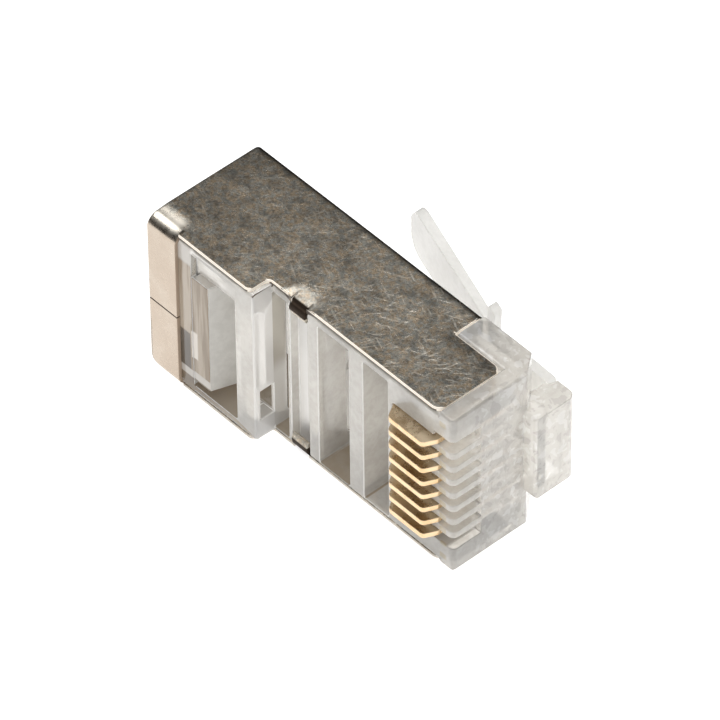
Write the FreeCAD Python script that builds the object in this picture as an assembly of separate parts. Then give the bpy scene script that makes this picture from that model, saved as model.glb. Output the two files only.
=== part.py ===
import FreeCAD
import Part

import math
import os

from FreeCAD import Vector

# A shielded eight-contact network plug, not yet crimped onto a cable, lying on one side.
# +X points the way the plug goes into its socket and +Y towards the latch.
# +Z runs across the row of contacts. The origin is on the lower side plate,
# halfway along the plug and halfway through its front thickness. Sizes are in millimetres.

# Overall sizes
plug_length = 23.0          # rear edge of the shield to the nose of the housing
plug_width = 11.75          # over the two side plates of the shield
front_thickness = 6.8       # contact face to latch face, in front of the step
rear_thickness = 8.2        # the same behind the step, where the cable jacket goes, without the flaps

# Shield, folded from one sheet
sheet = 0.25
bend_radius = 0.6           # outside of the two long bends
plate_front_setback = 1.13  # the nose reaches this far past the side plates
plate_edge_setback = 0.02   # the plates stop this far short of the contact face
plate_front_radius = 0.6
plate_notch_radius = 0.6
notch_length = 3.72         # corner cut from each plate beside the latch root
notch_depth = 2.13
step_position = 8.15        # positions along the plug are from the shield's rear edge
step_radius = 0.35
small_corner_radius = 0.1
flap_length = 2.3           # rear flaps that fold over the contact face
flap_bend_radius = 0.8
flap_seam = 0.07
flap_seam_offset = 0.4      # the upper flap reaches this far past the middle
flap_corner_radius = 1.3
lug_position = 10.0
lug_length = 1.25
lug_bend_radius = 0.75
lug_angle = 130.0

# Housing, moulded in clear plastic
housing_rear_setback = 0.3
edge_radius = 0.22
wall_edge_radius = 0.4      # of the long edges that lie inside the shield's bends
nose_radius = 0.4
nose_corner_radius = 0.25
nose_recess = 0.03          # the nose is this far inside the outer faces of the side plates
nose_chamfer_length = 1.1
nose_chamfer_depth = 1.4
nose_chamfer_radius = 0.3
step_overhang = 0.3         # the moulded step stands this far in front of the plates' step
step_edge_radius = 0.15
step_root_radius = 0.08
step_window_low = 1.65      # height of the lower end of the small window in the step's face
step_window_span = 2.2
step_window_inset = 0.4
step_window_depth = 0.9
groove_margin = 0.1         # room on either side of a lug in its groove
groove_depth = 0.6
seat_gap = 0.05             # clearance where the housing steps round the end of a sheet

# Cable entry and conductor chamber
cavity_side_wall = 0.85
cavity_latch_wall = 0.6
cavity_contact_wall = 0.9
cavity_radius = 2.2
cavity_length = 7.9
mouth_flare = 0.35
mouth_depth = 0.9
chamber_setback = 6.8       # from the nose; other setbacks are also from the nose
chamber_height = 2.9
chamber_width = 8.7
chamber_radius = 0.6

# Windows in the contact face: start and length of each one
window_low_margin = 0.45    # from the outer face of the lower side plate to a window's end
window_high_margin = 0.75   # and from that of the upper one
window_radius = 0.15
jacket_window_start = 3.3
jacket_window_length = 3.62
jacket_window_low_margin = 0.85
jacket_window_depth = 3.2   # past the rounded corners of the cable entry
foot_window_length = 1.2    # it starts at the front of the step
foot_window_depth = 1.9
chamber_window_rib_share = 0.18     # of the length between the lug groove and the front window
chamber_window_share = 0.56
chamber_window_depth = 3.7
front_window_setback = 7.2
front_window_length = 2.0
front_window_depth = 1.9

# Jacket bar, moulded across the first window on a thin web
bar_low = 1.2               # height of its lower end
bar_span = 8.0
bar_face = 1.3              # width of its outer face
bar_reach = 1.75            # how far it points into the cable entry
bar_lean = 0.6              # how far its tip leans forwards
bar_tip = 0.45
bar_gap = 0.12              # between the bar and the rear post, spanned by the web
bar_web = 0.3
bar_edge_radius = 0.1
bar_corner = 0.65
bar_end_gap = 0.1           # room over the bar's upper end, where the window turns shallow
bar_ledge_depth = 0.5       # depth of the window above that

# Contacts and their slots
contact_count = 8
contact_pitch = 1.016
blade_thickness = 0.35
blade_setback = 4.75
blade_length = 3.6
blade_stand = 0.85          # height of the uncrimped edge over the contact face
blade_travel = 1.4          # how far crimping pushes a blade in
blade_rear_slope = 0.5
blade_front_slope = 0.4
blade_edge_radius = 0.3
blade_shoulder_radius = 0.1
tine_count = 3
tine_height = 1.1
tine_notch_radius = 0.12
tine_tip_radius = 0.03
slot_clearance = 0.04
slot_end_clearance = 0.1
slot_floor_clearance = 0.03
slot_end_round = 0.8        # corner radius of a slot's ends, as a share of its half width
nose_slot_width = 0.53
nose_slot_depth = 2.1
nose_slot_outer_width = 0.3 # extra width of the first and last slot, towards the side plates

# Wire channels, in two staggered rows
channel_width = 0.95        # across the flats of a channel, which stands on its corner
channel_radius = 0.15
channel_setback = 1.0
channel_tip = 0.3
channel_tip_share = 0.4     # width of the far end of the tip, as a share of the channel's
channel_near_row = 1.05     # distance of each row's axes from the latch face
channel_far_row = 2.05
tine_gap = 0.5              # between an uncrimped blade's tines and a wire in its channel

# Latch, which springs at its root
latch_width = 6.15
tongue_width = 3.25
root_reach = 0.95           # the latch root stands this far in front of the nose
root_height = 1.5           # and this far outside the latch face
root_depth = 1.6            # and starts this far inside it
root_radius = 0.7
root_edge_radius = 0.25
hinge_setback = 0.9
hinge_clearance = 0.04
arm_thickness = 0.65
arm_length = 4.5            # from the hinge to where the flat arm turns up into the locking shoulder
arm_end_height = 1.0        # height of the arm's inner face there
shoulder_reach = 6.5        # how far behind the hinge the shoulder locks
shoulder_height = 3.15
shoulder_land_length = 0.8  # length of the shoulder's outer face, and how far it drops
shoulder_land_drop = 0.25
shoulder_radius = 0.35
tongue_bend_reach = 5.6
tongue_bend_height = 2.25
tongue_reach = 16.25
tongue_tip_height = 5.7
tongue_tip_thickness = 0.75
tongue_tip_radius = 1.3
tongue_lip_radius = 0.2
latch_edge_radius = 0.3

# Places that follow from the sizes
rear_x = -plug_length / 2
nose_x = plug_length / 2
latch_y = front_thickness / 2
contact_y = -front_thickness / 2
rear_contact_y = latch_y - rear_thickness
middle_z = plug_width / 2
seam_z = middle_z - flap_seam_offset
flap_y = rear_contact_y - sheet
plate_front_x = nose_x - plate_front_setback
wall_end_x = plate_front_x - notch_length
step_x = rear_x + step_position
flap_end_x = rear_x + flap_length
housing_rear_x = rear_x + housing_rear_setback
lug_x = rear_x + lug_position
cavity_end_x = housing_rear_x + cavity_length
chamber_end_x = nose_x - chamber_setback
groove_end_x = lug_x + lug_length + groove_margin
front_window_x = nose_x - front_window_setback
hinge_x = nose_x - hinge_setback
hinge_y = latch_y + root_height - arm_thickness / 2
blade_rear_x = nose_x - blade_setback
blade_front_x = blade_rear_x + blade_length
blade_edge_y = contact_y - blade_stand
past = 2.0                  # how far a cutting shape runs past what it cuts


def rounded_wire(corners, place):
    """Closed outline through (u, v, radius) corners, each point set in space by place(u, v)."""
    points = [Vector(u, v, 0) for u, v, radius in corners]
    radii = [radius for u, v, radius in corners]
    starts, ends, middles = [], [], []
    for index, corner in enumerate(points):
        back = (points[index - 1] - corner).normalize()
        ahead = (points[(index + 1) % len(points)] - corner).normalize()
        half_angle = back.getAngle(ahead) / 2
        setback = radii[index] / math.tan(half_angle)
        starts.append(corner + back * setback)
        ends.append(corner + ahead * setback)
        inward = (back + ahead).normalize() if radii[index] else Vector()
        middles.append(corner + inward * (radii[index] / math.sin(half_angle) - radii[index]))
    edges = []
    for index in range(len(points)):
        if radii[index]:
            arc_points = [place(p.x, p.y) for p in (starts[index], middles[index], ends[index])]
            edges.append(Part.Arc(*arc_points).toShape())
        run_start = place(ends[index].x, ends[index].y)
        following = starts[(index + 1) % len(points)]
        run_end = place(following.x, following.y)
        if run_start.distanceToPoint(run_end) > 1e-6:
            edges.append(Part.LineSegment(run_start, run_end).toShape())
    return Part.Wire(edges)


def prism_along_z(corners, low, high):
    """Solid of an (x, y, radius) outline between two heights."""
    wire = rounded_wire(corners, lambda u, v: Vector(u, v, low))
    return Part.Face(wire).extrude(Vector(0, 0, high - low))


def prism_along_x(corners, low, high):
    """Solid of a (y, z, radius) outline between two places along the plug."""
    wire = rounded_wire(corners, lambda u, v: Vector(low, u, v))
    return Part.Face(wire).extrude(Vector(high - low, 0, 0))


def prism_along_y(corners, low, high):
    """Solid of an (x, z, radius) outline between two places through the plug's thickness."""
    wire = rounded_wire(corners, lambda u, v: Vector(u, low, v))
    return Part.Face(wire).extrude(Vector(0, high - low, 0))


def rectangle(u_low, u_high, v_low, v_high, radius=0.0):
    return [(u_low, v_low, radius), (u_high, v_low, radius), (u_high, v_high, radius), (u_low, v_high, radius)]


def box(x_low, x_high, y_low, y_high, z_low, z_high):
    size = (x_high - x_low, y_high - y_low, z_high - z_low)
    return Part.makeBox(*size, Vector(x_low, y_low, z_low))


def cylinder_along_z(x, y, radius, low, high):
    return Part.makeCylinder(radius, high - low, Vector(x, y, low), Vector(0, 0, 1))


def mirrored_across(shape):
    """The same shape on the other side of the plug's middle plane."""
    return shape.mirror(Vector(0, 0, middle_z), Vector(0, 0, 1))


def plate_outline():
    """Side plate seen from above, with the step, the notch for the latch root and soft corners."""
    edge_y = contact_y + plate_edge_setback
    return [
        (rear_x, latch_y, 0),
        (rear_x, flap_y + flap_bend_radius, 0),
        (flap_end_x, flap_y + flap_bend_radius, 0),
        (flap_end_x, rear_contact_y, small_corner_radius),
        (step_x, rear_contact_y, step_radius),
        (step_x, edge_y, step_radius),
        (plate_front_x, edge_y, plate_front_radius),
        (plate_front_x, latch_y - notch_depth, plate_notch_radius),
        (wall_end_x, latch_y - notch_depth, small_corner_radius),
        (wall_end_x, latch_y, 0),
    ]


def channel_section():
    """Two side plates and the latch-side wall, open on the contact side."""
    inner = bend_radius - sheet
    return [
        (rear_contact_y, 0, 0),
        (latch_y, 0, bend_radius),
        (latch_y, plug_width, bend_radius),
        (rear_contact_y, plug_width, 0),
        (rear_contact_y, plug_width - sheet, 0),
        (latch_y - sheet, plug_width - sheet, inner),
        (latch_y - sheet, sheet, inner),
        (rear_contact_y, sheet, 0),
    ]


def rear_ring():
    """Rear of the shield, with both flaps folded over the contact face to meet at a seam."""
    inner = bend_radius - sheet
    flap_inner = flap_bend_radius - sheet
    outside = prism_along_x([
        (flap_y, 0, flap_bend_radius),
        (latch_y, 0, bend_radius),
        (latch_y, plug_width, bend_radius),
        (flap_y, plug_width, flap_bend_radius),
    ], rear_x, flap_end_x)
    inside = prism_along_x([
        (flap_y + sheet, sheet, flap_inner),
        (latch_y - sheet, sheet, inner),
        (latch_y - sheet, plug_width - sheet, inner),
        (flap_y + sheet, plug_width - sheet, flap_inner),
    ], rear_x - past, flap_end_x + past)
    seam = box(rear_x - past, flap_end_x + past, flap_y - past, flap_y + 2 * sheet,
               seam_z - flap_seam / 2, seam_z + flap_seam / 2)
    return outside.cut([inside, seam])


def flap_corner_trim():
    """Waste outside the rounded rear corner of the lower flap."""
    reach = flap_corner_radius
    low_y = flap_y - past
    high_y = flap_y + flap_bend_radius
    corner = box(rear_x - past, rear_x + reach, low_y, high_y, -past, reach)
    rounding = Part.makeCylinder(reach, high_y - low_y, Vector(rear_x + reach, low_y, reach), Vector(0, 1, 0))
    keep = box(rear_x + reach, rear_x + 2 * reach, low_y, high_y, -past, 2 * reach)
    return corner.cut([rounding, keep])


def lug():
    """Tongue of the upper side plate, rolled over the edge of the contact face into its groove."""
    centre_y = contact_y + groove_depth
    centre_z = plug_width - lug_bend_radius
    turn = math.radians(90 + lug_angle)
    halfway = math.radians(90 + lug_angle / 2)

    def on_roll(radius, angle):
        return Vector(lug_x, centre_y + radius * math.cos(angle), centre_z + radius * math.sin(angle))

    outer = lug_bend_radius
    inner = lug_bend_radius - sheet
    straight = math.radians(90)
    roll = Part.Wire([
        Part.Arc(on_roll(outer, straight), on_roll(outer, halfway), on_roll(outer, turn)).toShape(),
        Part.LineSegment(on_roll(outer, turn), on_roll(inner, turn)).toShape(),
        Part.Arc(on_roll(inner, turn), on_roll(inner, halfway), on_roll(inner, straight)).toShape(),
        Part.LineSegment(on_roll(inner, straight), on_roll(outer, straight)).toShape(),
    ])
    return Part.Face(roll).extrude(Vector(lug_length, 0, 0))


def lug_gap():
    """Space in the plate's edge for a lug, so that its roll starts inside the edge."""
    return box(lug_x, lug_x + lug_length, contact_y - past, contact_y + groove_depth,
               plug_width - 2 * sheet, plug_width + past)


def make_shield():
    channel = prism_along_x(channel_section(), rear_x, plate_front_x)
    plates = channel.common(prism_along_z(plate_outline(), -past, plug_width + past))
    plates = plates.cut([lug_gap(), mirrored_across(lug_gap())])
    shield = plates.fuse([rear_ring(), lug(), mirrored_across(lug())])
    return shield.cut(flap_corner_trim()).removeSplitter()


def housing_block(x_low, x_high, y_low, y_high, inset, radius, latch_radius=edge_radius):
    """Length of the housing, this far inside the outer faces of both side plates."""
    section = [
        (y_low, inset, radius),
        (y_high, inset, latch_radius),
        (y_high, plug_width - inset, latch_radius),
        (y_low, plug_width - inset, radius),
    ]
    return prism_along_x(section, x_low, x_high)


def housing_outline():
    """Housing seen from above, from the rear round the contact face and the nose to the latch face."""
    front_of_step = step_x + step_overhang
    return [
        (housing_rear_x, rear_contact_y, 0),
        (front_of_step, rear_contact_y, step_edge_radius),
        (front_of_step, contact_y, step_root_radius),
        (nose_x, contact_y, nose_radius),
        (nose_x, latch_y - nose_chamfer_depth, nose_chamfer_radius),
        (nose_x - nose_chamfer_length, latch_y, nose_chamfer_radius),
        (wall_end_x + seat_gap, latch_y, small_corner_radius),
        (wall_end_x + seat_gap, latch_y - sheet, 0),
        (housing_rear_x, latch_y - sheet, 0),
    ]


def housing_body():
    """Outer form, with soft edges all along the plug and round the nose."""
    wall_y = latch_y - sheet
    under_flaps = flap_bend_radius - sheet
    flap_seat_x = flap_end_x + seat_gap
    step_front_x = step_x + step_overhang
    notch_x = wall_end_x + seat_gap
    front_x = plate_front_x + seat_gap
    joined = [
        housing_block(housing_rear_x, flap_seat_x, rear_contact_y, wall_y, sheet, under_flaps, wall_edge_radius),
        housing_block(flap_seat_x, step_front_x, rear_contact_y, wall_y, sheet, edge_radius, wall_edge_radius),
        housing_block(step_front_x, notch_x, contact_y, wall_y, sheet, edge_radius, wall_edge_radius),
        housing_block(notch_x, front_x, contact_y, latch_y, sheet, edge_radius),
        housing_block(notch_x, front_x, latch_y - notch_depth + seat_gap, latch_y, nose_recess, edge_radius),
        housing_block(front_x, nose_x, contact_y, latch_y, nose_recess, edge_radius),
    ]
    body = joined[0].fuse(joined[1:])
    body = body.common(prism_along_z(housing_outline(), 0, plug_width))
    from_side = [
        (housing_rear_x, nose_recess, 0),
        (nose_x, nose_recess, nose_corner_radius),
        (nose_x, plug_width - nose_recess, nose_corner_radius),
        (housing_rear_x, plug_width - nose_recess, 0),
    ]
    return body.common(prism_along_y(from_side, rear_contact_y - past, latch_y + past))


def latch_root():
    """Block that carries the latch: it stands in front of the nose and ends in the hinge seat."""
    low = middle_z - latch_width / 2
    high = middle_z + latch_width / 2
    top_y = latch_y + root_height
    front_x = nose_x + root_reach
    from_above = [
        (hinge_x, latch_y - root_depth, 0),
        (front_x, latch_y - root_depth, root_edge_radius),
        (front_x, top_y, root_radius),
        (hinge_x, top_y, 0),
    ]
    from_front = rectangle(latch_y - root_depth, top_y, low, high, root_edge_radius)
    block = prism_along_z(from_above, low, high).common(prism_along_x(from_front, hinge_x, front_x))
    seat_radius = arm_thickness / 2 + hinge_clearance
    seat = cylinder_along_z(hinge_x, hinge_y, seat_radius, low - past, high + past)
    return block.cut(seat)


def cable_entry():
    """Space for the cable jacket, with a flared mouth."""
    y_low = rear_contact_y + cavity_contact_wall
    y_high = latch_y - cavity_latch_wall
    z_low = cavity_side_wall
    z_high = plug_width - cavity_side_wall

    def section(x, extra):
        corners = rectangle(y_low - extra, y_high + extra / 2, z_low - extra, z_high + extra, cavity_radius)
        return rounded_wire(corners, lambda u, v: Vector(x, u, v))

    straight = prism_along_x(rectangle(y_low, y_high, z_low, z_high, cavity_radius), housing_rear_x, cavity_end_x)
    mouth = Part.makeLoft([section(housing_rear_x, mouth_flare), section(housing_rear_x + mouth_depth, 0)], True)
    return straight.fuse(mouth)


def conductor_chamber():
    """Space where the conductors fan into one width, narrowing towards the wire channels."""
    y_high = latch_y - cavity_latch_wall
    wide = rectangle(contact_y + cavity_contact_wall, y_high,
                     cavity_side_wall, plug_width - cavity_side_wall, chamber_radius)
    narrow = rectangle(y_high - chamber_height, y_high,
                       middle_z - chamber_width / 2, middle_z + chamber_width / 2, chamber_radius)
    wires = [
        rounded_wire(wide, lambda u, v: Vector(cavity_end_x, u, v)),
        rounded_wire(narrow, lambda u, v: Vector(chamber_end_x, u, v)),
    ]
    return Part.makeLoft(wires, True)


def window(x_low, length, y_low, y_high, low_margin=window_low_margin, high_margin=window_high_margin):
    """Opening in the contact face that spans the plug between the side plates."""
    outline = rectangle(x_low, x_low + length, low_margin, plug_width - high_margin, window_radius)
    return prism_along_y(outline, y_low, y_high)


def jacket_window():
    """Window round the jacket bar, shallow above the bar's upper end."""
    x_low = rear_x + jacket_window_start
    bar_end_margin = plug_width - bar_low - bar_span - bar_end_gap
    shallow = window(x_low, jacket_window_length, rear_contact_y - past, rear_contact_y + bar_ledge_depth,
                     jacket_window_low_margin)
    deep = window(x_low, jacket_window_length, rear_contact_y - past, rear_contact_y + jacket_window_depth,
                  jacket_window_low_margin, bar_end_margin)
    return shallow.fuse(deep)


def chamber_window():
    """Window over the conductor chamber, between the lug groove and the front window."""
    free_length = front_window_x - groove_end_x
    x_low = groove_end_x + chamber_window_rib_share * free_length
    return window(x_low, chamber_window_share * free_length, contact_y - past, contact_y + chamber_window_depth)


def step_window():
    """Opening in the front of the step."""
    face_x = step_x + step_overhang
    section = rectangle(rear_contact_y + step_window_inset, contact_y,
                        step_window_low, step_window_low + step_window_span)
    return prism_along_x(section, face_x - step_window_depth, face_x + past)


def lug_groove():
    """Groove across the contact face that both lugs hook into."""
    profile = rectangle(lug_x - groove_margin, groove_end_x, contact_y - past, contact_y + groove_depth)
    return prism_along_z(profile, 0, plug_width)


def jacket_bar():
    """Bar that crimping swings in against the cable jacket, joined to the rear post by a thin web."""
    rear = rear_x + jacket_window_start
    face_y = rear_contact_y + seat_gap
    tip_y = face_y + bar_reach
    profile = [
        (rear + bar_gap, face_y, bar_edge_radius / 2),
        (rear + bar_face, face_y, bar_edge_radius),
        (rear + bar_face + bar_lean, tip_y, bar_edge_radius),
        (rear + bar_face + bar_lean - bar_tip, tip_y, bar_edge_radius),
        (rear + bar_gap, face_y + 2 * bar_web, bar_edge_radius),
    ]
    low = bar_low
    high = bar_low + bar_span
    bar = prism_along_z(profile, low, high)
    across = [
        (face_y, low, 0),
        (tip_y, low, 0),
        (tip_y, high - bar_corner, 0),
        (tip_y - bar_corner, high, 0),
        (face_y, high, 0),
    ]
    bar = bar.common(prism_along_x(across, rear - past, rear + jacket_window_length))
    web = box(rear - seat_gap, rear + bar_gap + seat_gap, face_y, face_y + bar_web, low, high)
    return bar.fuse(web)


def contact_height(number):
    """Height of a contact's middle: contact 1 is at the top."""
    return middle_z + ((contact_count + 1) / 2 - number) * contact_pitch


def channel_y(number):
    """Distance through the plug of a contact's wire channel: odd and even contacts take turns."""
    row = channel_near_row if number % 2 else channel_far_row
    return latch_y - row


def blade_tip_y(number):
    """Where an uncrimped blade's tines end, just short of its wire channel."""
    return channel_y(number) - channel_width / 2 - tine_gap


def wire_channel(number):
    """Blind channel for one conductor, square on its corner, with a tapered end that shows in the nose."""
    y = channel_y(number)
    z = contact_height(number)

    def diamond(share):
        reach = share * channel_width / math.sqrt(2)
        radius = share * channel_radius
        return [(y - reach, z, radius), (y, z - reach, radius), (y + reach, z, radius), (y, z + reach, radius)]

    end_x = nose_x - channel_setback
    channel = prism_along_x(diamond(1), chamber_end_x - channel_width / 2, end_x)
    tip = Part.makeLoft([
        rounded_wire(diamond(1), lambda u, v: Vector(end_x, u, v)),
        rounded_wire(diamond(channel_tip_share), lambda u, v: Vector(end_x + channel_tip, u, v)),
    ], True)
    return channel.fuse(tip)


def blade_slot(number):
    """Slot that guides a blade, open to its wire channel and, in the nose, to the front."""
    z = contact_height(number)
    half = blade_thickness / 2 + slot_clearance
    floor_y = blade_tip_y(number) + blade_travel + slot_floor_clearance
    outline = rectangle(blade_rear_x - slot_end_clearance, blade_front_x + slot_end_clearance,
                        z - half, z + half, half * slot_end_round)
    guide = prism_along_y(outline, contact_y - past, floor_y)
    below = nose_slot_outer_width if number == contact_count else 0
    above = nose_slot_outer_width if number == 1 else 0
    nose = box(blade_front_x - blade_front_slope, nose_x + past, contact_y - past, contact_y + nose_slot_depth,
               z - nose_slot_width / 2 - below, z + nose_slot_width / 2 + above)
    return [guide, nose]


def make_housing():
    body = housing_body().fuse(latch_root())
    cuts = [
        cable_entry(),
        conductor_chamber(),
        step_window(),
        lug_groove(),
        jacket_window(),
        window(step_x + step_overhang, foot_window_length, contact_y - past, contact_y + foot_window_depth),
        chamber_window(),
        window(front_window_x, front_window_length, contact_y - past, contact_y + front_window_depth),
    ]
    for number in range(1, contact_count + 1):
        cuts.append(wire_channel(number))
        cuts.extend(blade_slot(number))
    return body.cut(cuts).fuse(jacket_bar()).removeSplitter()


def make_contact(number):
    """Blade with a rounded outer edge and pointed tines that pierce one conductor."""
    tip_y = blade_tip_y(number)
    root_y = tip_y - tine_height
    outline = [
        (blade_rear_x, root_y, 0),
        (blade_rear_x, contact_y, blade_shoulder_radius),
        (blade_rear_x + blade_rear_slope, blade_edge_y, blade_edge_radius),
        (blade_front_x - blade_front_slope, blade_edge_y, blade_edge_radius),
        (blade_front_x, contact_y, blade_shoulder_radius),
        (blade_front_x, root_y, 0),
    ]
    tine_pitch = blade_length / tine_count
    for tine in range(tine_count):
        front = blade_front_x - tine * tine_pitch
        outline.append((front - tine_pitch / 2, tip_y, tine_tip_radius))
        if tine < tine_count - 1:
            outline.append((front - tine_pitch, root_y, tine_notch_radius))
    z = contact_height(number)
    return prism_along_z(outline, z - blade_thickness / 2, z + blade_thickness / 2)


def latch_profile():
    """Latch seen from above: flat arm, locking shoulder and slanting tongue."""
    half = arm_thickness / 2
    shoulder_x = hinge_x - shoulder_reach
    arm_end_x = hinge_x - arm_length
    tip_x = hinge_x - tongue_reach
    land_y = latch_y + shoulder_height - shoulder_land_drop
    return [
        (hinge_x, hinge_y + half, 0),
        (arm_end_x, latch_y + arm_end_height + arm_thickness, latch_edge_radius),
        (shoulder_x + shoulder_land_length, land_y, latch_edge_radius),
        (shoulder_x, latch_y + shoulder_height, latch_edge_radius),
        (tip_x, latch_y + tongue_tip_height + tongue_tip_thickness, latch_edge_radius),
        (tip_x, latch_y + tongue_tip_height, tongue_lip_radius),
        (hinge_x - tongue_bend_reach, latch_y + tongue_bend_height, latch_edge_radius),
        (arm_end_x, latch_y + arm_end_height, latch_edge_radius),
        (hinge_x, hinge_y - half, 0),
    ]


def make_latch():
    """Wide arm with a rounded hinge end, narrowing behind the shoulder to a tongue for the thumb."""
    low = middle_z - latch_width / 2
    high = middle_z + latch_width / 2
    side = prism_along_z(latch_profile(), low, high)
    knuckle = cylinder_along_z(hinge_x, hinge_y, arm_thickness / 2, low, high)
    shoulder_x = hinge_x - shoulder_reach
    tip_x = hinge_x - tongue_reach
    tongue_low = middle_z - tongue_width / 2
    tongue_high = middle_z + tongue_width / 2
    front_x = hinge_x + arm_thickness
    plan = [
        (front_x, low, 0),
        (front_x, high, 0),
        (shoulder_x, high, shoulder_radius),
        (shoulder_x, tongue_high, shoulder_radius),
        (tip_x, tongue_high, tongue_tip_radius),
        (tip_x, tongue_low, tongue_tip_radius),
        (shoulder_x, tongue_low, shoulder_radius),
        (shoulder_x, low, shoulder_radius),
    ]
    from_outside = prism_along_y(plan, latch_y - past, latch_y + tongue_tip_height + past)
    return side.fuse(knuckle).common(from_outside).removeSplitter()


def save(shape, node):
    solids = shape.Solids
    print(node, "solids", len(solids), "valid", shape.isValid(), "volume", round(shape.Volume, 2))
    (solids[0] if len(solids) == 1 else shape).exportStep("parts/" + node + ".step")


os.makedirs("parts", exist_ok=True)
save(make_housing(), "housing")
save(make_shield(), "shield")
save(make_latch(), "latch")
for number in range(1, contact_count + 1):
    save(make_contact(number), "contact_" + str(number))
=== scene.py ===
import math

import bmesh
import bpy
from mathutils import Matrix, Vector, noise
from mathutils.bvhtree import BVHTree


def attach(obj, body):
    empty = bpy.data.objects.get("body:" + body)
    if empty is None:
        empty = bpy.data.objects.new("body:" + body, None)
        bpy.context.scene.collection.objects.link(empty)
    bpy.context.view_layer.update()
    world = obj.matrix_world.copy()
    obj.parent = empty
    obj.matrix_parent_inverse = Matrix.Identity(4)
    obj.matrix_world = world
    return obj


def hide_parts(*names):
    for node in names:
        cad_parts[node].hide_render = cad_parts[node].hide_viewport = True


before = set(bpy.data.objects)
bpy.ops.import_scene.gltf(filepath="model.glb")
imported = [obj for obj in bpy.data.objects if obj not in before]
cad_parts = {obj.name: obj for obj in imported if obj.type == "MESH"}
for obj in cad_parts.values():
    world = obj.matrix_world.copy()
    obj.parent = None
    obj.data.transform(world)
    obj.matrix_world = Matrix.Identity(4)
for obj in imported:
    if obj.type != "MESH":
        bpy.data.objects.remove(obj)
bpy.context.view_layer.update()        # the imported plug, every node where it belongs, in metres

mm = 0.001
middle = 5.875 * mm      # height of the plug's middle plane over the table
far = 99.0               # mm, farther out than any part of the plug
narrow = (0.35, 0.65)    # between these values of a noise a tone turns into the next one
wide = (0.3, 0.7)        # and a roughness or a shade, more slowly


# Shader helpers: a Wire is one output socket, so that shader maths reads as arithmetic
class Wire:
    def __init__(self, finish, socket):
        self.finish = finish
        self.socket = socket

    def maths(self, operation, *values):
        return self.finish.node("ShaderNodeMath", {"operation": operation}, dict(enumerate(values)))

    def __add__(self, other):
        return self.maths("ADD", self, other)

    def __sub__(self, other):
        return self.maths("SUBTRACT", self, other)

    def __rsub__(self, other):
        return self.maths("SUBTRACT", other, self)

    def __mul__(self, other):
        return self.maths("MULTIPLY", self, other)

    __radd__ = __add__
    __rmul__ = __mul__

    def between(self, low, high, toLow=0.0, toHigh=1.0):
        # 0 to 1 as the value goes from low to high, with soft ends
        settings = {"interpolation_type": "SMOOTHSTEP"}
        return self.finish.node("ShaderNodeMapRange", settings, {
            "Value": self, "From Min": low, "From Max": high, "To Min": toLow, "To Max": toHigh})


class Finish:
    # one material under way, with one method that adds any kind of node
    def __init__(self, name):
        self.material = bpy.data.materials.new(name)
        self.material.use_nodes = True
        self.nodes = self.material.node_tree.nodes
        self.links = self.material.node_tree.links
        self.shader = self.nodes["Principled BSDF"]

    def node(self, kind, settings=None, sockets=None, output=0):
        made = self.nodes.new(kind)
        for name, value in (settings or {}).items():
            setattr(made, name, value)
        for key, value in (sockets or {}).items():
            self.feed(made.inputs[key], value)
        return Wire(self, made.outputs[output])

    def feed(self, socket, value):
        if isinstance(value, Wire):
            self.links.new(value.socket, socket)
        else:
            socket.default_value = value

    def place(self):
        # object coordinates, in metres
        return self.node("ShaderNodeTexCoord", output=3)

    def along(self, axis):
        # how far along X, Y or Z a point lies, as axis is 0, 1 or 2
        return self.node("ShaderNodeSeparateXYZ", {}, {0: self.place()}, output=axis)

    def zone(self, **steps):
        # 1 in a zone and 0 outside it: each soft step goes from where it is 0 to where it is 1, in mm
        mask = 1.0
        for axis, pairs in steps.items():
            for outside, inside in pairs:
                mask = self.along("xyz".index(axis)).between(outside * mm, inside * mm) * mask
        return mask

    def stretched(self, scale, turn=0.0):
        # object coordinates turned about +Z, then stretched
        turned = self.node("ShaderNodeMapping", {}, {"Vector": self.place(), "Rotation": (0.0, 0.0, turn)})
        return self.node("ShaderNodeMapping", {}, {"Vector": turned, "Scale": scale})

    def noise(self, vector, scale, detail=4.0, roughness=0.55, distortion=0.0):
        sockets = {"Vector": vector, "Scale": scale, "Detail": detail, "Roughness": roughness,
                   "Distortion": distortion}
        return self.node("ShaderNodeTexNoise", {}, sockets)

    def blend(self, factor, low, high, mode="MIX"):
        # a colour mix; sockets 0, 6 and 7 are the mix node's factor and its two colours
        settings = {"data_type": "RGBA", "blend_type": mode}
        return self.node("ShaderNodeMix", settings, {0: factor, 6: low, 7: high}, output=2)

    def bump(self, height, distance, strength):
        return self.node("ShaderNodeBump", {}, {"Height": height, "Distance": distance, "Strength": strength})

    def use(self, **values):
        for name, value in values.items():
            self.feed(self.shader.inputs[name.replace("_", " ")], value)

    def letLampsThrough(self, tint):
        # shadow rays pass, tinted, so that lamps light what is inside the clear plastic
        shadow = self.node("ShaderNodeLightPath", output=1)
        clear = self.node("ShaderNodeBsdfTransparent", {}, {"Color": tint})
        solid = Wire(self, self.shader.outputs["BSDF"])
        both = self.node("ShaderNodeMixShader", {}, {0: shadow, 1: solid, 2: clear})
        self.links.new(both.socket, self.nodes["Material Output"].inputs["Surface"])


def paint(red, green, blue):
    # an sRGB tone, 0 to 255, as the linear colour that a shader takes
    def linear(part):
        part = part / 255
        return part / 12.92 if part <= 0.04045 else ((part + 0.055) / 1.055) ** 2.4
    return (linear(red), linear(green), linear(blue), 1.0)


# Camera, at the photograph's viewing angle
cameraValues = {
    "lens": 422.9,
    "sensor": 36.0,
    "clip": (0.01, 10.0),
    "azimuth": 48.452,
    "elevation": 45.35,
    "roll": -0.71,
    "distance": 462.92 * mm,
    "target": (0.3165 * mm, -0.0446 * mm, 5.875 * mm),
}


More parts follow.
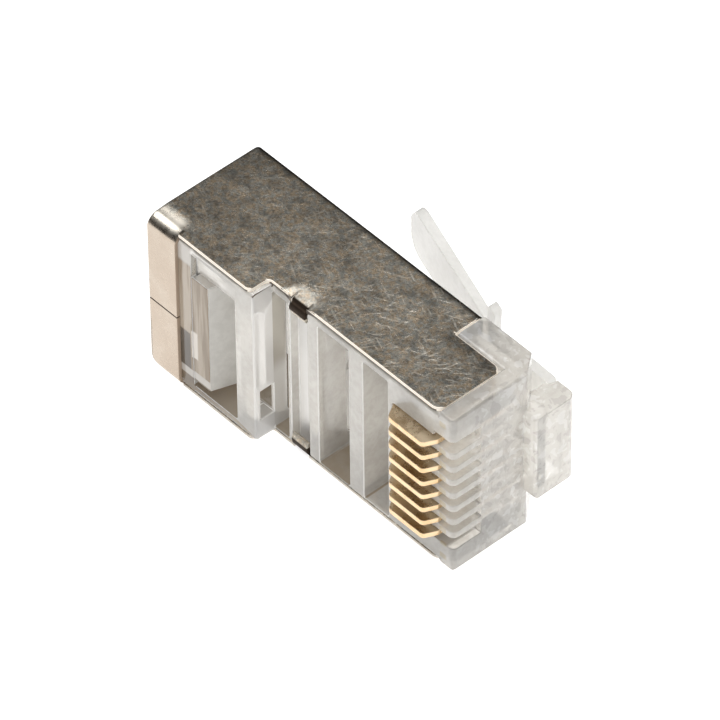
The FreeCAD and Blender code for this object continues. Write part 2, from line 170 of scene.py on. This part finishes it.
def makeCamera(values):
    azimuth = math.radians(values["azimuth"])
    elevation = math.radians(values["elevation"])
    back = Vector((math.sin(azimuth) * math.cos(elevation), -math.cos(azimuth) * math.cos(elevation),
                   math.sin(elevation)))
    side = Vector((0, 0, 1)).cross(back).normalized()
    upward = back.cross(side)
    turn = math.radians(values["roll"])
    right = side * math.cos(turn) + upward * math.sin(turn)
    camera = bpy.data.objects.new("photoCamera", bpy.data.cameras.new("photoCamera"))
    bpy.context.scene.collection.objects.link(camera)
    camera.data.lens = values["lens"]
    camera.data.sensor_width = values["sensor"]
    camera.data.clip_start, camera.data.clip_end = values["clip"]
    axes = Matrix((right, back.cross(right), back)).transposed()
    place = Vector(values["target"]) + back * values["distance"]
    camera.matrix_world = Matrix.Translation(place) @ axes.to_4x4()
    bpy.context.scene.camera = camera


makeCamera(cameraValues)
print("camera placed")


# Studio: a pale table under one large overhead soft light, with dim surroundings
studioValues = {
    "floorSize": 1.6,
    "floorColour": (0.86, 0.86, 0.86, 1.0),
    "floorGlow": 0.72,
    "cardColour": (0.012, 0.011, 0.010, 1.0),
    "mattness": 0.9,
    "roomColour": (0.20, 0.20, 0.195, 1.0),
    "roomStrength": 1.0,
}
softLights = {
    # name: place, what it faces, width, height, power in watts
    "overheadLight": ((-0.16, -0.05, 0.75), (-0.06, 0, 0), 0.75, 0.75, 4.8),
}
# dark cards round the plug, seen only in what the metal and the plastic mirror
darkCards = {
    # name: low corner, high corner
    "rearCard": ((-0.32, -0.90, 0.0), (-0.32, -0.25, 0.42)),
    "farCard": ((-0.32, -0.25, 0.0), (-0.32, 0.90, 0.13)),
    "latchCard": ((-0.06, 0.017, 0.0), (0.03, 0.017, 0.016)),
}


def makeSheet(name, corners, finish):
    mesh = bpy.data.meshes.new(name)
    mesh.from_pydata(corners, [], [(0, 1, 2, 3)])
    mesh.materials.append(finish.material)
    sheet = bpy.data.objects.new(name, mesh)
    bpy.context.scene.collection.objects.link(sheet)
    return sheet


def makeFloor(values):
    half = values["floorSize"] / 2
    finish = Finish("paleTable")
    finish.use(Base_Color=values["floorColour"], Roughness=values["mattness"], Emission_Color=(1, 1, 1, 1),
               Emission_Strength=values["floorGlow"])
    makeSheet("table", [(-half, -half, 0), (half, -half, 0), (half, half, 0), (-half, half, 0)], finish)


def makeLights(lights):
    for name, (place, aim, width, height, power) in lights.items():
        light = bpy.data.lights.new(name, "AREA")
        light.shape = "RECTANGLE"
        light.size = width
        light.size_y = height
        light.energy = power
        lamp = bpy.data.objects.new(name, light)
        bpy.context.scene.collection.objects.link(lamp)
        lamp.location = place
        lamp.rotation_mode = "QUATERNION"
        lamp.rotation_quaternion = (Vector(aim) - Vector(place)).to_track_quat("-Z", "Y")


def makeCards(cards, values):
    finish = Finish("darkCard")
    finish.use(Base_Color=values["cardColour"], Roughness=values["mattness"])
    for name, (low, high) in cards.items():
        corners = [low, (high[0], high[1], low[2]), high, (low[0], low[1], high[2])]
        card = makeSheet(name, corners, finish)
        card.visible_camera = False
        card.visible_diffuse = False
        card.visible_transmission = False
        card.visible_shadow = False


def makeRoom(values):
    world = bpy.data.worlds.new("room")
    bpy.context.scene.world = world
    world.use_nodes = True
    background = world.node_tree.nodes["Background"]
    background.inputs["Color"].default_value = values["roomColour"]
    background.inputs["Strength"].default_value = values["roomStrength"]
    bpy.context.scene.view_settings.view_transform = "Standard"


makeFloor(studioValues)
makeLights(softLights)
makeCards(darkCards, studioValues)
makeRoom(studioValues)
print("studio ready")


# Clear plastic of the housing and the latch, milky where it was moulded thick
plasticValues = {
    "housingColour": (0.86, 0.838, 0.80, 1.0),
    "housingShade": (0.74, 0.71, 0.665, 1.0),
    "housingClearness": 0.58,
    "latchColour": (0.93, 0.92, 0.90, 1.0),
    "latchShade": (0.85, 0.84, 0.815, 1.0),
    "latchClearness": 0.36,
    "refraction": 1.585,
    "roughness": (0.05, 0.18),
    # painted light: the clear plastic glows a little, standing in for light carried through it
    "glow": 0.07,
    "relief": 0.02 * mm,
    "shadowTint": (0.86, 0.86, 0.85, 1.0),
    # noises: scale, detail, roughness, distortion; a stretched one has its three scales apart
    "soft": (420.0, 3.0),
    "softShare": 0.5,
    "speckle": (2400.0, 4.0, 0.7),
    "speckleShare": 0.6,
    "rootCalm": 0.75,           # how much less speckle the latch's root has
    "flowStretch": (500.0, 1200.0, 1200.0),
    "flow": (1.0, 4.0, 0.6),
    "chunkStretch": (1500.0, 1500.0, 1300.0),
    "chunk": (1.0, 2.0, 0.6, 0.4),
    # painted refractions of the housing
    "bandWhite": (1.0, 0.99, 0.98, 1.0),
    "footShade": (0.60, 0.565, 0.50, 1.0),
    "footFade": (4.4 * mm, 5.8 * mm, 0.35, 1.0),    # from height, to height, share there
    "ribPitch": 1.016 * mm,
    "ribGold": (0.72, 0.62, 0.44, 1.0),
    "goldShare": 0.8,
    "patchGrey": (0.62, 0.60, 0.57, 1.0),
    "patchWhite": (1.0, 0.99, 0.98, 1.0),
    "patchShare": 0.7,
}
plasticZones = {
    # soft steps, each from where it is 0 to where it is 1, in mm
    "latchRoot": {"x": [(11.55, 11.7)]},
    "stepWall": {"x": [(-3.17, -3.12), (-2.97, -3.02)]},
    "lugWall": {"x": [(-1.6, -1.55), (-0.85, -0.9)]},
    "foot": {"x": [(-3.10, -3.08), (-3.0, -3.02)], "y": [(-3.42, -3.38)]},
    "ribs": {"x": [(10.38, 10.5), (11.05, 10.85)], "y": [(-3.2, -3.35)]},
    "nose": {"x": [(10.6, 10.9), (11.65, 11.55)], "y": [(-2.4, -1.4)]},
    "notch": {"x": [(6.6, 6.9)], "y": [(1.2, 1.4)]},
}


def paintRefractions(finish, colour, values, zones):
    # bright wall edges, the wall under the step, gold before the blades, the broken lights of nose and notch
    for name in ("stepWall", "lugWall"):
        colour = finish.blend(finish.zone(**zones[name]), colour, values["bandWhite"])
    height = finish.along(2)
    foot = finish.zone(**zones["foot"]) * height.between(*values["footFade"])
    colour = finish.blend(foot, colour, values["footShade"])
    turns = (height - middle) * (2 * math.pi / values["ribPitch"])
    ribs = turns.maths("COSINE", turns).between(0.1, 0.6) * finish.zone(**zones["ribs"])
    colour = finish.blend(ribs * values["goldShare"], colour, values["ribGold"])
    chunk = finish.noise(finish.stretched(values["chunkStretch"]), *values["chunk"])
    broken = chunk.maths("MAXIMUM", finish.zone(**zones["nose"]), finish.zone(**zones["notch"]))
    for start, full, patch in ((0.57, 0.60, "patchGrey"), (0.43, 0.40, "patchWhite")):
        share = chunk.between(start, full) * broken * values["patchShare"]
        colour = finish.blend(share, colour, values[patch])
    return colour


def makeClearPlastic(name, part, values, zones, painted):
    finish = Finish(name)
    place = finish.place()
    soft = finish.noise(place, *values["soft"])
    flow = finish.noise(finish.stretched(values["flowStretch"]), *values["flow"])
    speckle = finish.noise(place, *values["speckle"])
    calm = 1.0 - finish.zone(**zones["latchRoot"]) * values["rootCalm"]
    mottle = soft.between(*narrow) * values["softShare"]
    mottle = mottle + speckle.between(0.4, 0.62) * calm * values["speckleShare"]
    colour = finish.blend(mottle, values[part + "Colour"], values[part + "Shade"])
    if painted:
        colour = paintRefractions(finish, colour, values, zones)
    finish.use(Base_Color=colour, Roughness=soft.between(*wide, *values["roughness"]),
               IOR=values["refraction"], Transmission_Weight=values[part + "Clearness"],
               Emission_Color=colour, Emission_Strength=values["glow"],
               Normal=finish.bump(flow + speckle * 0.5, values["relief"], 0.5))
    finish.letLampsThrough(values["shadowTint"])
    return finish.material


# Plastic painted with the nickel seen through it, a painted refraction, on the rear post and on the windows'
# floors; it glows a little, as painted light
overMetalValues = {
    "tan": paint(140, 124, 104),
    "paleTan": paint(176, 162, 145),
    "dark": paint(92, 84, 75),
    "white": paint(222, 214, 204),
    "end": paint(196, 191, 184),
    "floorDark": paint(112, 99, 84),
    "floorTan": paint(160, 149, 134),
    "roughness": 0.12,
    "clearness": 0.15,
    "glow": 0.1,
    "streakStretch": (2600.0, 1500.0, 160.0),
    "streak": (1.0, 3.0),
    "cloud": (700.0, 3.0),
}
overMetalZones = {
    "postTop": {"z": [(9.9, 10.2)]},
    # painted refractions of the flap and of the table
    "flapRefraction": {"x": [(-8.35, -8.45)], "z": [(1.85, 1.95), (4.8, 4.6)]},
    "tableRefraction": {"x": [(-8.35, -8.25), (-7.8, -7.9)], "z": [(2.9, 3.0), (5.1, 4.9)]},
    "postFoot": {"z": [(1.95, 1.85)]},
    "floor": {"z": [(1.4, 1.3)]},
    "floorFront": {"x": [(-8.0, -4.6)]},
}


def makePlasticOverMetal(name, values, zones, plastic):
    # painted refraction: tan streaks of the nickel, with a dark patch painted for the flap and a white patch
    # painted for the table seen low through the rear post; the windows' floors are darker towards the rear
    finish = Finish(name)
    streak = finish.noise(finish.stretched(values["streakStretch"]), *values["streak"])
    cloud = finish.noise(finish.place(), *values["cloud"])
    floor = finish.blend(finish.zone(**zones["floorFront"]), values["floorDark"], values["floorTan"])
    floor = finish.blend(cloud.between(*narrow) * 0.5, floor, values["tan"])
    tone = finish.blend(streak.between(0.4, 0.6), values["tan"], values["paleTan"])
    layers = {"postTop": values["end"], "flapRefraction": values["dark"], "tableRefraction": values["white"],
              "postFoot": values["end"], "floor": floor}
    for zone, over in layers.items():
        tone = finish.blend(finish.zone(**zones[zone]), tone, over)
    finish.use(Base_Color=tone, Roughness=values["roughness"], IOR=plastic["refraction"],
               Transmission_Weight=values["clearness"], Emission_Color=tone, Emission_Strength=values["glow"],
               Normal=finish.bump(streak, plastic["relief"], 0.5))
    finish.letLampsThrough(plastic["shadowTint"])
    return finish.material


# Milky plastic: a painted highlight on rounded corners, the frosted jacket bar, the chamber's floor
# brightened by a painted glow, and the painted shadow on the strip that the sheet's rim sits on; each glows a
# little, as painted light
milkyValues = {
    "cloud": (1800.0, 4.0),
    # name: two tones, clearness, glow, roughness
    "looks": {
        # painted highlight on the rounded edges
        "plasticEdge": ((0.93, 0.92, 0.90, 1.0), (0.85, 0.84, 0.815, 1.0), 0.3, 0.1, 0.25),
        "barPlastic": ((0.66, 0.645, 0.61, 1.0), (0.60, 0.585, 0.55, 1.0), 0.0, 0.12, 0.5),
        # the chamber's floor glows brightly, as painted light
        "chamberPlastic": ((0.62, 0.60, 0.56, 1.0), (0.60, 0.585, 0.55, 1.0), 0.2, 0.5, 0.4),
        # painted shadow on the strip under the sheet's rim
        "rimShadowPlastic": (paint(96, 82, 68), paint(96, 82, 68), 0.0, 0.05, 0.5),
    },
}


def makeMilkyPlastic(name, low, high, clearness, glow, roughness, values, plastic):
    finish = Finish(name)
    cloud = finish.noise(finish.place(), *values["cloud"])
    tone = finish.blend(cloud.between(*narrow), low, high)
    finish.use(Base_Color=tone, Roughness=roughness, IOR=plastic["refraction"], Transmission_Weight=clearness,
               Emission_Color=tone, Emission_Strength=glow)
    finish.letLampsThrough(plastic["shadowTint"])
    return finish.material


# Nickel of the shield: rolled plates, speckled brown and blue-grey with fine scratches, and cleaner flaps,
# with painted light and shade along the plate, painted highlights beside the rear fold and the lug, and a
# painted dark reflection on the lug's roll
nickelValues = {
    "brown": paint(194, 174, 148),
    "grey": paint(178, 176, 168),
    "dull": paint(96, 88, 79),
    "blue": paint(98, 101, 100),
    "bright": paint(250, 242, 228),
    "flap": paint(188, 173, 157),
    "flapPale": paint(196, 183, 168),
    "darkReflection": paint(62, 52, 44),
    # noises: scale, detail, roughness, distortion
    "noises": {
        "cloud": (330.0, 4.0, 0.6),
        "patch": (2100.0, 6.0, 0.72),
        "grain": (7600.0, 3.0, 0.75),
        "hue": (3300.0, 4.0, 0.7),
        "blotch": (1100.0, 3.0, 0.6, 0.5),
    },
    # layers over the brown and grey: noise, where it starts, where it is full, share there, tone
    "layers": [("patch", 0.48, 0.62, 0.75, "dull"), ("grain", 0.5, 0.36, 0.4, "dull"),
               ("patch", 0.46, 0.34, 0.5, "bright"), ("grain", 0.52, 0.64, 0.25, "bright"),
               ("blotch", 0.42, 0.68, 0.5, "blue")],
    "roughness": (0.22, 0.36),
    "grainBump": 0.02 * mm,
    # fine scratches: the noise that draws them, its values where one starts and is full, share there; and
    # turn in radians, length and width of each set
    "scratch": (1.0, 3.0, 0.6, 0.35),
    "scratchEdge": (0.60, 0.70),
    "scratchShare": 0.6,
    "scratchMost": 0.8,
    "scratches": [(-0.85, 1.6 * mm, 0.16 * mm), (-0.45, 1.9 * mm, 0.18 * mm), (-1.35, 1.3 * mm, 0.16 * mm),
                  (0.35, 1.5 * mm, 0.18 * mm)],
    # along the plug: from place, to place, share at the one and at the other
    "scratchRise": (-8.0 * mm, 5.0 * mm, 0.35, 0.8),
    # painted light: the plate grows lighter towards the front
    "lightRise": (-11.5 * mm, 2.0 * mm, 0.98, 1.22),
    "cloudShade": (0.78, 1.06),
    # painted shade on the latch side of the rear, towards the front and beside the notch
    "darkening": {"rearShade": 0.18, "frontShade": 0.16, "notchShade": 0.5},
    "reflectionSides": (4.95 * mm, 5.05 * mm),          # from the middle plane
    # painted highlights beside the rear fold and the lug, where the bumps are also smoother
    "flareClean": 0.85,
    "rearFlareShare": 0.9,
    "lugFlareShare": 0.25,
    "lugRoughness": 0.3,
}
nickelZones = {
    "flap": {"y": [(-4.7, -4.95)]},
    "rearFlare": {"x": [(-8.9, -9.8)], "y": [(-3.4, -4.1)]},
    "lugFlare": {"x": [(-2.2, -1.5), (0.4, -0.3)], "y": [(-2.2, -2.9)]},
    "lugDarkReflection": {"x": [(-1.6, -1.5), (-0.15, -0.25)], "y": [(-3.12, -3.22)]},
    "rearShade": {"x": [(-6.0, -9.0)], "y": [(0.0, 2.0)]},
    "frontShade": {"x": [(5.0, 9.0)]},
    "notchShade": {"x": [(5.8, 7.0)], "y": [(-0.2, 1.27)]},
}


def makeNickel(name, values, zones):
    finish = Finish(name)
    place = finish.place()
    zone = {each: finish.zone(**steps) for each, steps in zones.items()}
    flare = place.maths("MAXIMUM", zone["rearFlare"], zone["lugFlare"])
    worn = (1.0 - zone["flap"]) * (1.0 - flare * values["flareClean"])
    noises = {each: finish.noise(place, *settings) for each, settings in values["noises"].items()}
    scratch = 0.0
    for turn, length, width in values["scratches"]:
        lines = finish.noise(finish.stretched((1 / length, 1 / width, 1 / width), turn), *values["scratch"])
        scratch = lines.between(*values["scratchEdge"]) * values["scratchShare"] + scratch
    scratch = scratch * finish.along(0).between(*values["scratchRise"])
    tone = finish.blend(noises["hue"].between(0.42, 0.58), values["brown"], values["grey"])
    for each, start, full, share, over in values["layers"]:
        tone = finish.blend(noises[each].between(start, full) * share, tone, values[over])
    tone = finish.blend(scratch.maths("MINIMUM", scratch, values["scratchMost"]), tone, values["bright"])
    # painted light and shade: lighter towards the front, darker on the latch side of the rear, towards the
    # front and beside the notch
    shade = finish.along(0).between(*values["lightRise"])
    shade = shade * noises["cloud"].between(*wide, *values["cloudShade"])
    for each, share in values["darkening"].items():
        shade = shade * (1.0 - zone[each] * share)
    shadeColour = finish.node("ShaderNodeCombineColor", {}, {0: shade, 1: shade, 2: shade})
    tone = finish.blend(1.0, tone, shadeColour, "MULTIPLY")
    # painted highlights beside the rear fold and beside the lug
    tone = finish.blend(zone["rearFlare"] * values["rearFlareShare"], tone, values["bright"])
    tone = finish.blend(zone["lugFlare"] * values["lugFlareShare"], tone, values["bright"])
    # painted dark reflection on the outside of the lug's roll
    outward = place.maths("ABSOLUTE", finish.along(2) - middle)
    tone = finish.blend(zone["lugDarkReflection"] * outward.between(*values["reflectionSides"]), tone, values["darkReflection"])
    clean = finish.blend(noises["cloud"].between(*narrow), values["flap"], values["flapPale"])
    height = (noises["grain"] * 0.5 + noises["patch"] * 0.5 + scratch * 0.25) * worn
    roughness = noises["patch"].between(*wide, *values["roughness"])
    finish.use(Base_Color=finish.blend(zone["flap"], tone, clean), Metallic=1.0,
               Roughness=roughness + zone["lugFlare"] * values["lugRoughness"],
               Normal=finish.bump(height, values["grainBump"], 0.8))
    return finish.material


# Sheared edges of the sheet: a painted highlight along the outer rim, painted shade where they meet the
# plastic, and a slight glow as painted light
shearedValues = {
    # name: tone inside, tone of the painted rim highlight
    "looks": {
        "shearedEdge": (paint(62, 51, 41), paint(250, 240, 226)),
        "brightEdge": (paint(250, 240, 226), paint(250, 240, 226)),
        "flapRim": (paint(158, 140, 122), paint(158, 140, 122)),
        "lowerEdge": (paint(196, 189, 180), paint(196, 189, 180)),
    },
    "rimHighlight": (5.735 * mm, 5.775 * mm),               # from the middle plane: where it starts, where it is full
    "metal": 0.15,
    "roughness": 0.42,
    "glow": 0.24,
}


def makeShearedEdge(name, inside, rimHighlight, values):
    finish = Finish(name)
    height = finish.along(2)
    outward = height.maths("ABSOLUTE", height - middle)
    # painted highlight along the outer rim, painted shade below it towards the plastic
    tone = finish.blend(outward.between(*values["rimHighlight"]), inside, rimHighlight)
    finish.use(Base_Color=tone, Metallic=values["metal"], Roughness=values["roughness"], Emission_Color=tone,
               Emission_Strength=values["glow"])
    return finish.material


# Gold on the contact blades
goldValues = {
    # name: deep tone, pale tone
    "looks": {
        "goldPlate": (paint(226, 192, 148), paint(240, 213, 174)),
        "bladeSide": (paint(196, 172, 138), paint(226, 208, 180)),
    },
    "cloud": (900.0, 4.0, 0.6),
    "roughness": (0.2, 0.34),
    "relief": 0.01 * mm,
}


def makeGold(name, deep, pale, values):
    finish = Finish(name)
    cloud = finish.noise(finish.place(), *values["cloud"])
    tone = finish.blend(cloud.between(*narrow), deep, pale)
    finish.use(Base_Color=tone, Metallic=1.0, Roughness=cloud.between(*wide, *values["roughness"]),
               Normal=finish.bump(cloud, values["relief"], 0.4))
    return finish.material


materials = {
    "housingPlastic": makeClearPlastic("housingPlastic", "housing", plasticValues, plasticZones, True),
    "latchPlastic": makeClearPlastic("latchPlastic", "latch", plasticValues, plasticZones, False),
    "nickelPlate": makeNickel("nickelPlate", nickelValues, nickelZones),
}
materials["plasticOverMetal"] = makePlasticOverMetal("plasticOverMetal", overMetalValues, overMetalZones,
                                                     plasticValues)
for name, look in milkyValues["looks"].items():
    materials[name] = makeMilkyPlastic(name, *look, milkyValues, plasticValues)
for name, tones in shearedValues["looks"].items():
    materials[name] = makeShearedEdge(name, *tones, shearedValues)
for name, tones in goldValues["looks"].items():
    materials[name] = makeGold(name, *tones, goldValues)
print("materials ready")


# Pieces: each CAD node's solid with its facets joined and its edges softened
meshValues = {
    "join": 0.001 * mm,
    "flatTurn": 0.5,            # degrees; facets that turn less become one face
    "sharpTurn": 40.0,          # only edges that turn more are softened
    "smoothTurn": 50.0,         # edges that turn more stay sharp in the shading
    "segments": 2,
    "stray": 0.6,               # how far off the CAD surface a corner may be, as a share of the softened edge
    "touch": 1e-7,
}


def softMesh(node, values, edgeSlot=None):
    shape = bmesh.new()
    shape.from_mesh(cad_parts[node].data)
    bmesh.ops.remove_doubles(shape, verts=shape.verts, dist=meshValues["join"])
    bmesh.ops.dissolve_limit(shape, angle_limit=math.radians(meshValues["flatTurn"]), verts=shape.verts,
                             edges=shape.edges)
    turn = math.radians(meshValues["sharpTurn"])
    surface = BVHTree.FromBMesh(shape)

    def sliver(face):
        return abs(face.normal.x) > 0.9 and face.calc_area() < values.get("sliver", 0.0)

    def sharpEdges():
        return [edge for edge in shape.edges if len(edge.link_faces) == 2 and edge.calc_face_angle() > turn
                and not any(sliver(face) for face in edge.link_faces)]

    def soften(edges, width, slot):
        made = bmesh.ops.bevel(shape, geom=edges, offset=width, segments=meshValues["segments"], profile=0.5,
                               affect="EDGES", clamp_overlap=False)
        if slot is not None:
            for face in made["faces"]:
                face.material_index = slot

    if "rimEdge" in values:
        rims = [edge for edge in sharpEdges()
                if all(abs(vert.co.z - middle) > values["rimFrom"] and vert.co.x > values["rimStart"]
                       for vert in edge.verts)]
        soften(rims, values["rimEdge"], values["looks"].index("shearedEdge"))
    soften(sharpEdges(), values["edge"], edgeSlot)
    # a softened corner stays near the CAD surface
    reach = max(values["edge"], values.get("rimEdge", 0.0)) * meshValues["stray"]
    for vert in shape.verts:
        near, normal, index, apart = surface.find_nearest(vert.co)
        if apart > reach:
            vert.co = near
    bmesh.ops.dissolve_degenerate(shape, edges=shape.edges, dist=meshValues["join"])
    return shape


def cutAcross(shape, axis, place):
    everything = shape.verts[:] + shape.edges[:] + shape.faces[:]
    bmesh.ops.bisect_plane(shape, geom=everything, dist=meshValues["touch"], plane_co=axis * place,
                           plane_no=axis)


def placePiece(name, shape, looks, body, node):
    mesh = bpy.data.meshes.new(name)
    shape.edges.index_update()
    borders = {edge.index for edge in shape.edges
               if len({face.material_index for face in edge.link_faces}) > 1}
    shape.to_mesh(mesh)
    shape.free()
    mesh.polygons.foreach_set("use_smooth", [True] * len(mesh.polygons))
    mesh.set_sharp_from_angle(angle=math.radians(meshValues["smoothTurn"]))
    for look in looks:
        mesh.materials.append(materials[look])
    if borders:
        for edge in mesh.edges:
            edge.use_edge_sharp = edge.use_edge_sharp or edge.index in borders
    piece = bpy.data.objects.new(name, mesh)
    bpy.context.scene.collection.objects.link(piece)
    shading = piece.modifiers.new("evenShading", "WEIGHTED_NORMAL")
    shading.keep_sharp = True
    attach(piece, body)
    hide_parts(node)
    return piece


def dressFaces(piece, looks, zones):
    # the first zone that holds a face gives it its look, or leaves it as it is if the zone's look is None; a
    # zone can ask for the look that the face has now, for the place of its centre in mm and for its normal
    for face in piece.data.polygons:
        x, y, z = face.center / mm
        measures = {"x": x, "y": y, "z": z, "outward": abs(z - middle / mm), "normalX": face.normal.x,
                    "normalY": face.normal.y, "normalZ": face.normal.z, "level": abs(face.normal.z)}
        for look, now, limits in zones:
            fits = now in (None, looks[face.material_index])
            if fits and all(low < measures[name] < high for name, (low, high) in limits.items()):
                if look:
                    face.material_index = looks.index(look)
                break


# Housing, with faces painted with what lies behind them, painted highlights on its softened edges and a
# painted shadow under the sheet's rim
housingValues = {
    "edge": 0.05 * mm,
    "cut": -8.15 * mm,          # divides the long faces of the rear, so that each part gets its own look
    "looks": ["housingPlastic", "plasticOverMetal", "plasticEdge", "barPlastic", "chamberPlastic",
              "rimShadowPlastic"],
}
housingZones = [
    # windows' floors, rear post, strip under the sheet's rim, nose, jacket bar, chamber's floor
    ("plasticOverMetal", None,
     {"normalZ": (0.7, far), "x": (-far, 5.0), "y": (-far, -1.2), "z": (0.4, 1.4)}),
    ("plasticOverMetal", None, {"normalY": (-far, -0.7), "x": (-far, -6.7), "y": (-far, -4.6)}),
    # painted shadow on the strip under the sheet's rim
    ("rimShadowPlastic", "plasticEdge", {"x": (-far, 10.4), "y": (-far, -3.3), "z": (11.3, far)}),
    ("housingPlastic", "plasticEdge", {"x": (6.5, far)}),
    ("barPlastic", None,
     {"normalX": (0.7, far), "x": (-6.85, -6.0), "y": (-4.85, -2.9), "z": (1.0, far)}),
    ("chamberPlastic", None,
     {"normalZ": (0.5, far), "x": (-11.0, 4.7), "y": (-1.6, 2.6), "z": (0.7, 2.4)}),
]


def makeHousing(values, zones):
    looks = values["looks"]
    shape = softMesh("housing", values, looks.index("plasticEdge"))
    cutAcross(shape, Vector((1, 0, 0)), values["cut"])
    housing = placePiece("clearHousing", shape, looks, "plug", "housing")
    dressFaces(housing, looks, zones)


# Shield: rolled sheet that isn't quite flat, with soft dips beside the rear fold and beside the lug
shieldValues = {
    "edge": 0.03 * mm,
    "sliver": 0.12e-6,          # square metres; edges of smaller upright faces stay sharp
    "rimEdge": 0.085 * mm,
    "rimFrom": 5.86 * mm,       # from the middle plane
    "rimStart": -9.3 * mm,
    "looks": ["nickelPlate", "shearedEdge", "brightEdge", "flapRim", "lowerEdge"],
    # the plate is cut into squares, so that it can bend: axis, from, to
    "grid": 0.25 * mm,
    "cuts": [((1, 0, 0), -11.6 * mm, 11.6 * mm), ((0, 1, 0), -5.2 * mm, 3.6 * mm)],
    "plateLow": 10.9 * mm,
    "plateFade": 0.65 * mm,
    "waveScale": 330.0,
    "waveDepth": 0.012 * mm,
    "dips": [
        {"from": -11.5 * mm, "to": -9.7 * mm, "fade": 0.8 * mm,
         "edge": -4.25 * mm, "width": 0.75 * mm, "depth": 0.06 * mm},
        {"from": -1.4 * mm, "to": -0.35 * mm, "fade": 0.55 * mm,
         "edge": -2.9 * mm, "width": 0.9 * mm, "depth": 0.07 * mm},
    ],
    # the plate beside the lug is drawn down with the lug's roll
    "flatTop": 11.7 * mm,
    "flatUnderside": 11.5 * mm,
    "flatSlack": 0.03 * mm,
    "lugRear": -1.5 * mm,
    "lugFront": -0.25 * mm,
    "rollStart": -2.8 * mm,
    "rollRadius": 0.75 * mm,
    "drawShare": 0.6,
    "drawFade": 0.7 * mm,
}
shieldZones = [
    # flap's front edge, upright sheared edges, seam between the flaps, lug as it is, rolled-over rim
    ("flapRim", None, {"normalX": (0.7, far), "x": (-9.3, -9.1), "y": (-far, -4.2)}),
    ("shearedEdge", None,
     {"level": (-far, 0.5), "outward": (5.58, far), "x": (-9.25, far), "y": (-far, 3.0)}),
    ("shearedEdge", None, {"level": (0.7, far), "z": (5.395, 5.555)}),
    (None, None, {"x": (-2.275, 0.525), "y": (-far, -2.4)}),
    ("shearedEdge", None,
     {"level": (0.1, 0.97), "outward": (5.76, far), "x": (-9.2, far), "y": (-far, 2.6)}),
]
# the lower plate's edges are painted pale as a painted reflection of the table; edges that face the front
# carry the painted highlight all over
shearedZones = [
    ("lowerEdge", "shearedEdge", {"z": (-far, 0.875)}),
    ("brightEdge", "shearedEdge", {"normalX": (0.5, far)}),
]


def smooth(share):
    share = min(max(share, 0.0), 1.0)
    return share * share * (3 - 2 * share)


def dentPlate(shape, values):
    for axis, low, high in values["cuts"]:
        place = low
        while place < high:
            cutAcross(shape, Vector(axis), place)
            place += values["grid"]
    for vert in shape.verts:
        x, y, z = vert.co
        share = smooth((z - values["plateLow"]) / values["plateFade"])
        sink = values["waveDepth"] * (1 + noise.noise(vert.co * values["waveScale"]))
        for dip in values["dips"]:
            along = smooth((x - dip["from"]) / dip["fade"] + 1) * smooth((dip["to"] - x) / dip["fade"] + 1)
            sink += dip["depth"] * along * smooth((dip["edge"] - y) / dip["width"] + 1)
        flat = z > values["flatTop"] or abs(z - values["flatUnderside"]) < values["flatSlack"]
        if flat and y < values["rollStart"]:
            apart = max(values["lugRear"] - x, x - values["lugFront"], 0.0)
            drawn = min((values["rollStart"] - y) / values["rollRadius"], 1.0)
            drop = values["rollRadius"] * (1 - math.sqrt(1 - drawn * drawn))
            sink += values["drawShare"] * drop * smooth(1 - apart / values["drawFade"])
        vert.co.z -= sink * share


def makeShield(values, zones, laterZones):
    looks = values["looks"]
    shape = softMesh("shield", values)
    dentPlate(shape, values)
    shield = placePiece("foldedShield", shape, looks, "plug", "shield")
    dressFaces(shield, looks, zones)
    dressFaces(shield, looks, laterZones)


# Latch
latchValues = {
    "edge": 0.05 * mm,
    "looks": ["latchPlastic"],
}


def makeLatch(values):
    placePiece("springLatch", softMesh("latch", values), values["looks"], "latch", "latch")


# Contact blades, with another gold tone on their sides
bladeValues = {
    "edge": 0.02 * mm,
    "count": 8,
    "looks": ["goldPlate", "bladeSide"],
}
bladeZones = [("bladeSide", None, {"level": (0.7, far)})]


def makeBlades(values, zones):
    looks = values["looks"]
    for number in range(1, values["count"] + 1):
        node = "contact_" + str(number)
        blade = placePiece("blade" + str(number), softMesh(node, values), looks, node, node)
        dressFaces(blade, looks, zones)


makeHousing(housingValues, housingZones)
makeShield(shieldValues, shieldZones, shearedZones)
makeLatch(latchValues)
makeBlades(bladeValues, bladeZones)
print("pieces made")
